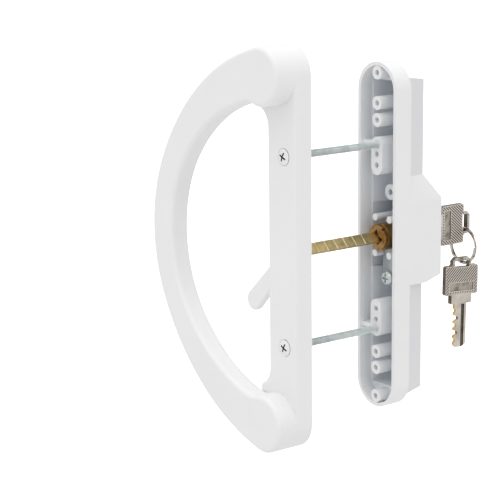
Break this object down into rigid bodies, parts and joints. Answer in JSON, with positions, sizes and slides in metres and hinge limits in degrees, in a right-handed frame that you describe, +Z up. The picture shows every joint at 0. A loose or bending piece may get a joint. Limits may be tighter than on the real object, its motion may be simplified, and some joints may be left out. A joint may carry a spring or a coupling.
{
  "type": "sliding patio door handle",
  "caption": "Handle pair for a sliding door: cast D pull with a thumb lever, through screws and tailpiece, and a hollow keyed outer pull.",
  "frame": {"origin": "where the tailpiece axis crosses the door side of the room handle", "axes": "+Z up along the handles, +Y through the door towards the outside, +X across the width, away from the bow"},
  "size_m": [0.1185, 0.1485, 0.2122],
  "materials": {
    "white_enamel": "white baked enamel on a zinc casting",
    "zinc_plate": "bright zinc plate",
    "yellow_zinc": "yellow passivated zinc plate",
    "cylinder_brass": "machined brass",
    "spring_steel": "bright drawn wire",
    "key_nickel": "nickel plate on brass"
  },
  "bodies": {
    "root": {"inside_handle": "white_enamel", "lever_seat_plate": "zinc_plate", "upper_seat_screw": "zinc_plate", "lower_seat_screw": "zinc_plate", "upper_mounting_screw": "zinc_plate", "lower_mounting_screw": "zinc_plate", "outside_handle": "white_enamel", "cylinder_sleeve": "cylinder_brass", "cylinder_clamp_plate": "zinc_plate", "cylinder_clamp_screw": "zinc_plate"},
    "lever": {"thumb_lever": "white_enamel", "tailpiece": "yellow_zinc"},
    "plug": {"cylinder_plug": "cylinder_brass", "plug_end_cap": "cylinder_brass", "wafer_1": "cylinder_brass", "wafer_2": "cylinder_brass", "wafer_3": "cylinder_brass", "wafer_4": "cylinder_brass", "wafer_5": "cylinder_brass", "wafer_spring_1": "spring_steel", "wafer_spring_2": "spring_steel", "wafer_spring_3": "spring_steel", "wafer_spring_4": "spring_steel", "wafer_spring_5": "spring_steel", "lock_key": "key_nickel"},
    "ring": {"key_ring": "key_nickel"},
    "hanging_key": {"spare_key": "key_nickel"}
  },
  "joints": [
    {"name": "lever_turn", "type": "hinge", "parent": "root", "child": "lever", "pos_m": [0, 0, 0], "axis": [0, 1, 0], "range_deg": [0, 90]},
    {"name": "key_turn", "type": "hinge", "parent": "root", "child": "plug", "pos_m": [0, 0.07, 0], "axis": [0, 1, 0], "range_deg": [0, 90]},
    {"name": "ring_swing", "type": "hinge", "parent": "plug", "child": "ring", "pos_m": [0, 0.116, -0.0036], "axis": [1, 0, 0], "range_deg": [-8, 30]},
    {"name": "spare_key_swing", "type": "hinge", "parent": "ring", "child": "hanging_key", "pos_m": [0, 0.116, -0.0228], "axis": [1, 0, 0], "range_deg": [-8, 30]}
  ],
  "couplings": [
    {"joint": "key_turn", "follows": "lever_turn", "ratio": 1}
  ]
}
